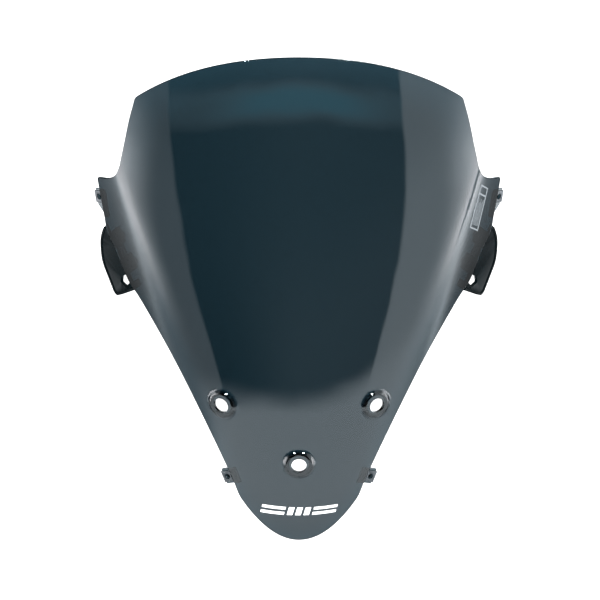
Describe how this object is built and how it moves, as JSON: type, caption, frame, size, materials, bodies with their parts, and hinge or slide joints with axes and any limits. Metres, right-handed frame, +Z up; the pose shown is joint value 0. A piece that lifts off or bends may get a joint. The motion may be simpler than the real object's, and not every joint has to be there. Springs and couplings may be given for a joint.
{
  "type": "motorcycle windshield screen",
  "caption": "Smoked, domed windscreen panel with swept side wings, raised-seat bolt holes, side stays, rubber-mounted collars and edge clip nuts.",
  "frame": {"origin": "on the axis of the lower bolt hole, where the shell's front surface would cross it", "axes": "+Z up along the height of the screen in its riding attitude, +Y rearwards to the rider, +X to the right of someone facing the screen's front"},
  "size_m": [0.3704, 0.1901, 0.4226],
  "materials": {
    "smoked_shell": "dark smoked polycarbonate, polished, with a hard coat",
    "white_print": "white screen print",
    "label_print": "pale grey screen print",
    "stay_plastic": "black moulded plastic, semi-gloss",
    "foam_pad": "closed-cell foam pad",
    "black_steel": "black-coated steel screw",
    "zinc_steel": "zinc-plated steel",
    "grommet_rubber": "moulded rubber",
    "spring_steel": "plated spring steel"
  },
  "bodies": {
    "root": {"screen_shell": "smoked_shell", "front_emblem": "white_print", "blank_label": "label_print", "left_side_stay": "stay_plastic", "left_stay_pads": "foam_pad", "left_stay_screws": "black_steel", "left_stay_washers": "zinc_steel", "left_grommet": "grommet_rubber", "left_collar": "zinc_steel", "left_upper_clip_nut": "spring_steel", "left_lower_clip_nut": "spring_steel", "right_side_stay": "stay_plastic", "right_stay_pads": "foam_pad", "right_stay_screws": "black_steel", "right_stay_washers": "zinc_steel", "right_grommet": "grommet_rubber", "right_collar": "zinc_steel", "right_upper_clip_nut": "spring_steel", "right_lower_clip_nut": "spring_steel"}
  },
  "joints": []
}
